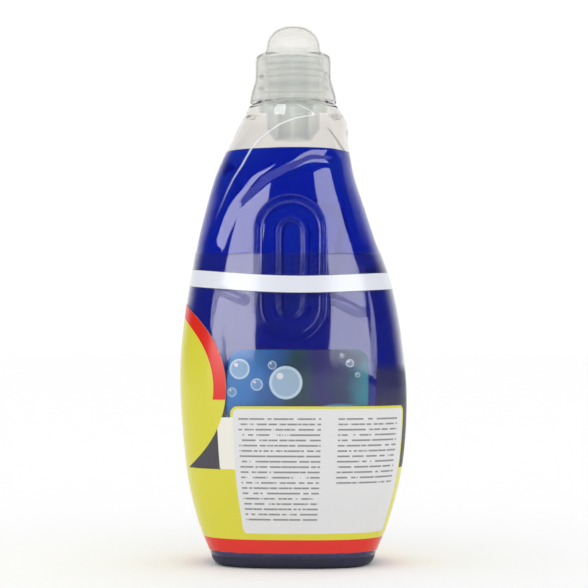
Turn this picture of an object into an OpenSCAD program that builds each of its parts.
// A clear blown bottle for liquid laundry detergent, with a drain-back pour
// spout, a domed screw cap, its own label and a printed film sleeve.
// Millimetres. The origin is the middle of the base, on the table. +Z is up,
// -Y is the wide face that carries the label, and +X is its right-hand side.

/* [Body] */
// Height of the body, from the table to the foot of the neck
body_h = 247; // [225:1:270]
// Greatest width of the body
body_w = 121; // [110:1:132]
// Greatest depth of the body, front to back
body_d = 86; // [76:1:94]
// Thickness of the blown wall
wall = 0.8; // [0.6:0.1:1.2]
// Height of the rounded edge round the base
base_round_h = 6; // [4:0.5:9]
// How far the rounded edge draws the base in
base_round_in = 5; // [4:0.5:8]
// Width of the flat ring that the bottle stands on
foot_ring_w = 5; // [3:0.5:8]
// Rise of the middle of the base above the table
push_up_h = 5; // [3:0.5:8]

/* [Grip recess] */
// Depth of the finger recess pressed into each wide face
grip_depth = 9; // [5:0.5:11]
// Half width of the recess
grip_r = 19; // [16:0.5:20]
// Width of the recess's outer wall, seen from the front
grip_wall_w = 4.2; // [3:0.2:5]
// Half width of the flat strip down the middle of the recess
grip_floor_r = 5.5; // [4:0.5:7]
// Width of the wall between the flat strip and the ledge round it
grip_step_w = 1.5; // [1:0.5:2.5]
// Height of the recess's lower end
grip_low = 118; // [112:1:124]
// Height of the recess's upper end
grip_high = 195; // [186:1:198]

/* [Panel] */
// Depth of the label panel below the face around it
panel_depth = 0.9; // [0.6:0.1:1.5]
// Width of the sloping edge round the panel
panel_lip = 2.4; // [1.6:0.2:4]
// Height of the panel's lower edge
panel_low = 12; // [10:1:16]
// Height of the panel's upper edge
panel_high = 214; // [208:1:218]

/* [Neck] */
// Radius of the shoulder at the foot of the neck
foot_r = 22.7; // [21.5:0.1:23.5]
// Outer radius of the neck
neck_r = 17.3; // [16.8:0.1:17.6]
// Thickness of the neck's wall
neck_wall = 1.5; // [1.2:0.1:1.8]
// Height of the neck above the body
neck_h = 24.2; // [22:0.2:26]
// Height of the carrying bead's middle above the body
bead_up = 8.2; // [7:0.2:9]
// How far the carrying bead stands out from the neck
bead_out = 1.3; // [0.8:0.1:1.4]

/* [Pour spout] */
// Outer radius of the drain-back well
well_r = 14.5; // [14:0.1:14.8]
// Depth of the well below the neck's rim, to its floor
well_depth = 38; // [34:1:40]
// Fall of the well's floor from its edge to the pour tube
well_fall = 6; // [4:0.5:7]
// Outer radius of the pour tube
tube_r = 8.6; // [7.5:0.1:9.5]
// Wall of the spout fitting
spout_wall = 0.9; // [0.8:0.1:1.2]
// Height of the pour lip above the neck's rim
lip_h = 8.6; // [7:0.2:9.6]
// Fall of the tube's end from its lip to its back
lip_fall = 5; // [3:0.5:7]
// Width of the drain slot along the tube
slot_w = 3; // [2:0.5:4]
// Radius of the drain hole in the well's floor
drain_r = 2; // [1.5:0.1:2.4]

/* [Cap] */
// Outer radius of the cap's skirt
skirt_r = 20.5; // [20.3:0.1:21.5]
// Outer radius of the cap's flared foot
flare_r = 23.4; // [22.8:0.1:24]
// Height of the flared foot, with its slope
flare_h = 12.4; // [11:0.2:14]
// Height of the cap's skirt, from its foot to the sloping shoulder
skirt_h = 24.2; // [23.6:0.2:26]
// Outer radius of the dome
dome_r = 14.8; // [14:0.1:15.4]
// Height of the dome above the cap's shoulder
dome_h = 13.2; // [11.6:0.2:15]
// Height of the sloping shoulder between the skirt and the dome
shoulder_h = 4.2; // [3.8:0.1:5]
// Thickness of the cap's wall
cap_wall = 1.3; // [1:0.1:1.4]

/* [Contents] */
// Height of the detergent's surface above the table
fill_h = 219.6; // [190:0.1:223]

/* [Label and film] */
// Height of the label's lower edge
label_low = 18; // [16:1:24]
// Height of the label's upper edge
label_high = 114; // [100:1:116]
// Strip of bare panel beside the label
label_margin = 2; // [1:0.5:4]
// Radius of the label's corners
label_corner = 7; // [4:1:10]
// Thickness of the label
label_t = 0.2; // [0.1:0.05:0.3]
// Height of the film sleeve's lower edge
film_low = 6; // [6:0.5:9]
// Height of the film sleeve's upper edge
film_high = 167; // [150:1:180]
// Thickness of the film sleeve
film_t = 0.3; // [0.2:0.05:0.4]

/* [Hidden] */

// Clearance between curved faces that would otherwise touch
gap = 0.3;
// How far the skin runs up into the neck's foot, and how proud that foot is
foot_sink = 1.6;
foot_proud = 0.2;
// How far the cap's foot stays above the shoulder
cap_clear = 0.8;
// Overlap of a cutter past the face that it cuts
past = 1;

// Columns across the panel and round a side, and steps of the round base edge
FACE_STEPS = 12;
SIDE_STEPS = 8;
ROUND_STEPS = 4;

// The body's outline. Each row has the height as a share of the body's, then
// how far the left edge, the right edge and the wide faces stand out, from 0 at
// the neck's radius to 1 at the full size, and the squareness of the section.
OUTLINE = [
    [0.025, 0.555, 0.565, 0.55, 3.0],
    [0.09, 0.73, 0.74, 0.65, 2.7],
    [0.18, 0.87, 0.90, 0.84, 2.8],
    [0.27, 0.94, 0.98, 0.94, 2.8],
    [0.37, 0.985, 1.00, 1.00, 2.8],
    [0.45, 0.98, 0.96, 1.00, 2.8],
    [0.54, 0.92, 0.88, 0.97, 2.8],
    [0.62, 0.84, 0.76, 0.91, 2.7],
    [0.70, 0.75, 0.57, 0.81, 2.6],
    [0.77, 0.64, 0.42, 0.69, 2.5],
    [0.835, 0.52, 0.28, 0.55, 2.4],
    [0.88, 0.40, 0.22, 0.41, 2.3],
    [0.92, 0.27, 0.18, 0.26, 2.2],
    [0.945, 0.19, 0.18, 0.17, 2.1],
    [0.965, 0.12, 0.15, 0.10, 2.0],
    [0.985, 0.06, 0.07, 0.05, 2.0],
    [1.00, 0.00, 0.00, 0.00, 2.0]
];

// The panel's left and right edges: height as a share of the body's, then
// each edge's place as a share of half the body's width
PANEL = [
    [0.00, -0.42, 0.42],
    [0.20, -0.54, 0.66],
    [0.35, -0.61, 0.72],
    [0.47, -0.57, 0.72],
    [0.53, -0.61, 0.71],
    [0.59, -0.635, 0.67],
    [0.65, -0.61, 0.61],
    [0.745, -0.48, 0.52],
    [0.81, -0.23, 0.45],
    [0.865, 0.02, 0.41],
    [1.00, -0.10, 0.24]
];

function ease(t) = let (c = min(1, max(0, t))) c * c * (3 - 2 * c);
function mix(a, b, t) = a + (b - a) * t;

// A smooth curve through one column of a table whose first column rises
function row_at(table, s, i = 0) =
    i >= len(table) - 2 || s < table[i + 1][0] ? i : row_at(table, s, i + 1);
function rise(table, i, c) =
    let (lo = max(0, i - 1), hi = min(len(table) - 1, i + 1))
    (table[hi][c] - table[lo][c]) / (table[hi][0] - table[lo][0]);
function along(table, s, c) =
    let (
        i = row_at(table, s),
        step = table[i + 1][0] - table[i][0],
        t = min(1, max(0, (s - table[i][0]) / step)),
        a = table[i][c],
        b = table[i + 1][c],
        bend = rise(table, i, c) * step * t * (1 - t) * (1 - t)
            - rise(table, i + 1, c) * step * t * t * (1 - t)
    )
    mix(a, b, ease(t)) + bend;

// Half sizes and squareness of the body's section at a height
function left_at(z) = foot_r + along(OUTLINE, z / body_h, 1) * (body_w / 2 - foot_r);
function right_at(z) = foot_r + along(OUTLINE, z / body_h, 2) * (body_w / 2 - foot_r);
function depth_at(z) = foot_r + along(OUTLINE, z / body_h, 3) * (body_d / 2 - foot_r);
function square_at(z) = along(OUTLINE, z / body_h, 4);

// The panel's edges at a height
function panel_left(z) = along(PANEL, z / body_h, 1) * body_w / 2;
function panel_right(z) = along(PANEL, z / body_h, 2) * body_w / 2;

// How far a point of a wide face is pressed in: by the panel, then by the grip.
// The recess is a little wider on the skins inside, so that its wall stays thick.
function panel_press(x, z) =
    panel_depth
    * ease((x - panel_left(z)) / panel_lip + 0.5)
    * ease((panel_right(z) - x) / panel_lip + 0.5)
    * ease((z - panel_low) / panel_lip + 0.5)
    * ease((panel_high - z) / panel_lip + 0.5);
function grip_end(z) = max(0, grip_low + grip_r - z, z - grip_high + grip_r);
function grip_press(x, z, inset) =
    let (d = sqrt(x * x + pow(grip_end(z), 2)) - inset / 2)
    grip_depth * (0.6 * ease((grip_r - d) / grip_wall_w)
        + 0.4 * ease((grip_floor_r + grip_step_w - d) / grip_step_w));

// Half depth of the section at a place across it, drawn in by inset
function face_at(x, z, inset) =
    let (a = (x < 0 ? left_at(z) : right_at(z)) - inset, n = square_at(z))
    (depth_at(z) - inset) * pow(max(0, 1 - pow(abs(x) / a, n)), 1 / n);

// Radius of the section in a direction, drawn in by inset
function radius_at(angle, z, inset) =
    let (
        a = (cos(angle) < 0 ? left_at(z) : right_at(z)) - inset,
        b = depth_at(z) - inset,
        n = square_at(z)
    )
    pow(pow(abs(cos(angle)) / a, n) + pow(abs(sin(angle)) / b, n), -1 / n);

// Distances of the recess's edges from its middle line, from the middle out
GRIP_EDGES = [
    0,
    grip_floor_r,
    grip_floor_r + grip_step_w,
    grip_r - grip_wall_w,
    grip_r - grip_wall_w * 0.4,
    grip_r + gap
];

// Half width at a height of a slot with round ends that follows an edge
function slot_half(edge, z) =
    sqrt((max(0, edge * edge - pow(grip_end(z), 2)) + 0.1 * edge * edge) / 1.1);

// Place of a column across the face: the panel's lip has a column at each side,
// the columns between are even, and over the recess they follow its edges
function column_x(i, z, pressed) =
    let (
        lo = panel_left(z),
        hi = panel_right(z),
        half_lip = panel_lip / 2,
        even = mix(lo + half_lip, hi - half_lip, (i - 1) / FACE_STEPS),
        k = i - 1 - FACE_STEPS / 2,
        over = pressed * ease((z - grip_low) / 6 + 1) * ease((grip_high - z) / 6 + 1)
    )
    i == 0 ? lo - half_lip
    : i == FACE_STEPS + 2 ? hi + half_lip
    : abs(k) >= len(GRIP_EDGES) ? even
    : mix(even, sign(k) * slot_half(GRIP_EDGES[abs(k)], z), over);

// Place of a column round a side: closer together at the corners of the section
function side_share(i) = let (t = i / SIDE_STEPS) t - 0.06 * sin(360 * t);

// One closed ring of the body at height z, drawn in by inset. pressed is 1 for
// the moulded faces and 0 for a film stretched over them.
function ring(z, inset, pressed = 1) =
    let (
        last = FACE_STEPS + 2,
        front = [
            for (i = [0:last])
                let (x = column_x(i, z, pressed), press = panel_press(x, z) + grip_press(x, z, inset))
                [x, -face_at(x, z, inset) + pressed * press, z]
        ],
        turn_r = atan2(-face_at(front[last][0], z, inset), front[last][0]),
        turn_l = atan2(face_at(front[0][0], z, inset), front[0][0]),
        right = [
            for (i = [1:SIDE_STEPS - 1])
                let (
                    angle = mix(turn_r, -turn_r, side_share(i)),
                    r = radius_at(angle, z, inset)
                )
                [r * cos(angle), r * sin(angle), z]
        ],
        back = [for (i = [last:-1:0]) [front[i][0], -front[i][1], z]],
        left = [
            for (i = [1:SIDE_STEPS - 1])
                let (
                    angle = mix(turn_l, 360 - turn_l, side_share(i)),
                    r = radius_at(angle, z, inset)
                )
                [r * cos(angle), r * sin(angle), z]
        ]
    )
    concat(front, right, back, left);

// The rounded edge at the base, step 0 on the table, and the rings inside it
function edge_ring(step, inset) =
    let (turn = 90 * step / ROUND_STEPS, draw = base_round_in * (1 - sin(turn)))
    [
        for (p = ring(base_round_h, inset + draw))
            [p[0], p[1], base_round_h * (1 - cos(turn)) + inset]
    ];
function base_ring(share, lift, inset) =
    [for (p = edge_ring(0, inset)) [p[0] * share, p[1] * share, lift + inset]];

// Share of the base that lies inside the flat ring it stands on
ring_share = 1 - foot_ring_w / (depth_at(base_round_h) - base_round_in);
function base_rings(inset) = [
    base_ring(ring_share * 0.35, push_up_h, inset),
    base_ring(ring_share * 0.7, push_up_h * 0.75, inset),
    base_ring(ring_share, 0, inset),
    for (step = [0:ROUND_STEPS - 1]) edge_ring(step, inset)
];

// Heights of the body's rings: coarse below the grip, finer over it and the shoulder
function levels(low_steps, grip_steps, high_steps) = [
    for (i = [0:low_steps - 1]) mix(base_round_h + wall, grip_low, i / low_steps),
    for (i = [0:grip_steps - 1]) mix(grip_low, grip_high, i / grip_steps),
    for (i = [0:high_steps]) mix(grip_high, body_h, i / high_steps)
];
OUTER_LEVELS = levels(10, 16, 14);
INNER_LEVELS = levels(6, 16, 8);

// Faces between ring a and ring b of n points. Each four-sided cell is cut from
// corner to corner: the other way on an inner skin, so that both skins match.
function band(a, b, n, inner) = [
    for (i = [0:n - 1])
        let (j = (i + 1) % n, p = a * n + i, q = a * n + j, r = b * n + i, s = b * n + j)
        each inner ? [[p, r, q], [r, s, q]] : [[p, r, s], [p, s, q]]
];
function flatten(rings) = [for (r = rings) each r];

// A closed skin through rings. The skin is an inner one past ring number turn.
module lofted(rings, turn) {
    n = len(rings[0]);
    top = len(rings) - 1;
    polyhedron(
        points = flatten(rings),
        faces = concat(
            [[for (i = [0:n - 1]) i]],
            [for (k = [0:top - 1]) each band(k, k + 1, n, k > turn)],
            [[for (i = [n - 1:-1:0]) top * n + i]]
        ),
        convexity = 10
    );
}

// A closed tube through rings, with the last joined to the first
module looped(rings) {
    n = len(rings[0]);
    count = len(rings);
    polyhedron(
        points = flatten(rings),
        faces = [for (k = [0:count - 1]) each band(k, (k + 1) % count, n, k >= count / 2)],
        convexity = 10
    );
}

function reversed(list) = [for (i = [len(list) - 1:-1:0]) list[i]];

// Heights that the neck, spout and cap share
rim_z = body_h + neck_h;
bore_r = neck_r - neck_wall;
cap_z = body_h + cap_clear;
well_floor_z = rim_z - well_depth;
flange_t = 1.1;
plug_h = 9;

module bottle_skin() {
    outside = concat(base_rings(0), [for (z = OUTER_LEVELS) ring(z, 0)]);
    inside = concat(base_rings(wall), [for (z = INNER_LEVELS) ring(z, wall)]);
    lofted(concat(outside, reversed(inside)), len(outside) - 1);
}

// The injected neck finish: a thick foot, the carrying bead and the rim
module neck_finish() {
    foot_z = body_h - foot_sink;
    outer_r = foot_r + foot_proud;
    bead_z = body_h + bead_up;
    edge = 0.5;
    rotate_extrude($fn = 96)
        polygon([
            [foot_r - foot_sink, foot_z],
            [outer_r, foot_z],
            [outer_r, body_h - 0.2],
            [outer_r - 1.4, body_h + 0.3],
            [neck_r + 1.2, body_h + 2.6],
            [neck_r, body_h + 4.2],
            [neck_r, bead_z - 1.4],
            [neck_r + bead_out, bead_z - 0.4],
            [neck_r + bead_out, bead_z + 0.4],
            [neck_r, bead_z + 1],
            [neck_r, rim_z - edge],
            [neck_r - edge, rim_z],
            [bore_r, rim_z],
            [bore_r, body_h + 2]
        ]);
}

module bottle() {
    color([0.86, 0.87, 0.86, 0.35])
        union() {
            bottle_skin();
            neck_finish();
        }
}

// The room that the spout takes, with a clearance, as the liquid stays out of it
module spout_room() {
    floor_z = well_floor_z - well_fall;
    rotate_extrude($fn = 96)
        polygon([
            [0, floor_z - gap],
            [tube_r + 1.4 + gap, floor_z - gap],
            [well_r + gap, well_floor_z - gap],
            [well_r + gap, rim_z - plug_h - gap],
            [neck_r, rim_z - plug_h],
            [neck_r, rim_z + lip_h],
            [0, rim_z + lip_h]
        ]);
}

// The liquid fills the bottle to its level, a small clearance inside the wall
module detergent() {
    inset = wall + gap;
    top = body_h - foot_sink - gap;
    rings = concat(
        base_rings(inset),
        [for (z = INNER_LEVELS) if (z > base_round_h + inset && z < top - gap) ring(z, inset)],
        [ring(top, inset)]
    );
    color([0.03, 0.1, 0.6])
        difference() {
            union() {
                lofted(rings, len(rings));
                rotate_extrude($fn = 96)
                    polygon([
                        [0, top - past],
                        [foot_r - foot_sink - gap, top - past],
                        [foot_r - foot_sink - gap, top],
                        [bore_r - gap, body_h + 2 - gap],
                        [bore_r - gap, rim_z],
                        [0, rim_z]
                    ]);
            }
            translate([-body_w, -body_w, fill_h])
                cube([2 * body_w, 2 * body_w, 2 * body_h]);
            spout_room();
        }
}

// The spout is pressed into the neck: a flange on the rim, a plug in the bore,
// the drain-back well, and the slotted pour tube standing in it
module spout_shell() {
    snug = 0.05;
    inner = well_r - spout_wall;
    floor_r = tube_r + 1.4;
    rotate_extrude($fn = 96)
        polygon([
            [floor_r - spout_wall, well_floor_z - well_fall],
            [floor_r, well_floor_z - well_fall],
            [well_r, well_floor_z],
            [well_r, rim_z - plug_h],
            [bore_r - snug, rim_z - plug_h + 1.2],
            [bore_r - snug, rim_z],
            [neck_r - 0.4, rim_z],
            [neck_r - 0.4, rim_z + flange_t],
            [bore_r - snug - spout_wall, rim_z + flange_t],
            [bore_r - snug - spout_wall, rim_z - plug_h + 2],
            [inner, rim_z - plug_h + 0.8],
            [inner, well_floor_z + 0.3],
            [floor_r - spout_wall, well_floor_z - well_fall + spout_wall]
        ]);
}

module pour_tube() {
    tube_low = well_floor_z - well_fall;
    tube_h = rim_z + lip_h - tube_low;
    fall_turn = atan2(lip_fall, 2 * tube_r);
    difference() {
        translate([0, 0, tube_low])
            cylinder(h = tube_h, r = tube_r, $fn = 96);
        translate([0, 0, tube_low - past])
            cylinder(h = tube_h + 2 * past, r = tube_r - spout_wall, $fn = 96);
        translate([0, tube_r, rim_z + lip_h])
            rotate([fall_turn, 0, 0])
                translate([-2 * tube_r, -4 * tube_r, 0])
                    cube([4 * tube_r, 6 * tube_r, 4 * lip_h]);
        translate([-slot_w / 2, -2 * tube_r, tube_low + 6])
            cube([slot_w, 2 * tube_r, tube_h]);
    }
}

module pour_spout() {
    floor_t = 1;
    floor_z = well_floor_z - well_fall;
    color([0.9, 0.92, 0.92, 0.6])
        difference() {
            union() {
                spout_shell();
                pour_tube();
                translate([0, 0, floor_z])
                    difference() {
                        cylinder(h = floor_t, r = tube_r + 1, $fn = 96);
                        translate([0, 0, -past])
                            cylinder(h = floor_t + 2 * past, r = tube_r - spout_wall / 2, $fn = 96);
                    }
            }
            translate([0, -(tube_r + well_r) / 2, floor_z - past])
                cylinder(h = well_fall + 2 * past, r = drain_r, $fn = 48);
        }
}

// The cap's outside, from its axis down the dome, shoulder, skirt and flare.
// in is how far the line is drawn in, so the inside is the same line again.
function dome_arc(r, h, z, steps) = [
    for (i = [0:steps])
        let (turn = 90 * i / steps)
        [r * pow(sin(turn), 0.85), z + h * pow(cos(turn), 0.85)]
];
function cap_line(in) =
    let (
        shoulder_z = cap_z + skirt_h,
        dome_z = shoulder_z + shoulder_h,
        lip_top = cap_z + 3.4
    )
    concat(
        dome_arc(dome_r - in, dome_h - in, dome_z, 14),
        [
            [dome_r + 0.5 - in, dome_z - 1 - in * 0.8],
            [dome_r + 1.6 - in, dome_z - 1.9 - in * 0.8],
            [skirt_r - 0.7 - in * 0.9, shoulder_z + 0.9 - in * 0.8],
            [skirt_r - in, shoulder_z - 0.4 - in * 0.6],
            [skirt_r - in, cap_z + flare_h - in * 0.2],
            [flare_r - 0.2 - in, lip_top - in * 0.2],
            [flare_r - in, cap_z]
        ]
    );

module dosing_cap() {
    color([0.9, 0.89, 0.86, 0.7])
        rotate_extrude($fn = 96)
            polygon(concat(cap_line(0), reversed(cap_line(cap_wall))));
}

// One ring of the label: its outer face from left to right, then its inner face.
// Its columns are the panel's, drawn in at the corners.
function label_ring(z) =
    let (
        up = min(1, max(0, (label_corner - (label_high - z)) / label_corner)),
        down = min(1, max(0, (label_corner - (z - label_low)) / label_corner)),
        draw = label_corner * (1 - sqrt(1 - pow(max(up, down), 2))),
        edge = panel_lip / 2 + label_margin + draw,
        lo = panel_left(z) + edge,
        hi = panel_right(z) - edge,
        row = [for (i = [0:FACE_STEPS]) mix(lo, hi, i / FACE_STEPS)]
    )
    concat(
        [for (x = row) [x, -face_at(x, z, 0) + panel_press(x, z) - gap - label_t, z]],
        [for (x = reversed(row)) [x, -face_at(x, z, 0) + panel_press(x, z) - gap, z]]
    );

module back_label() {
    corner_rows = [0, 0.25, 1];
    rows = concat(
        [for (s = corner_rows) label_low + s * label_corner],
        [for (i = [1:6]) mix(label_low + label_corner, label_high - label_corner, i / 7)],
        [for (s = reversed(corner_rows)) label_high - s * label_corner]
    );
    color([0.25, 0.6, 0.85])
        lofted([for (z = rows) label_ring(z)], len(rows));
}

// The film is shrunk round the body and bridges the panel and the grip recess.
// Its rings lie at the body's own levels, and at every second one over the grip.
module film_sleeve() {
    inner_rows = [
        for (i = [0:len(OUTER_LEVELS) - 1])
            let (z = OUTER_LEVELS[i])
            if (z > film_low + past && z < film_high - past && (z < grip_low || i % 2 == 0)) z
    ];
    rows = concat([film_low], inner_rows, [film_high]);
    color([0.85, 0.82, 0.25, 0.6])
        looped(concat(
            [for (z = rows) ring(z, -gap - film_t, 0)],
            [for (z = reversed(rows)) ring(z, -gap, 0)]
        ));
}

bottle();
detergent();
pour_spout();
dosing_cap();
back_label();
film_sleeve();
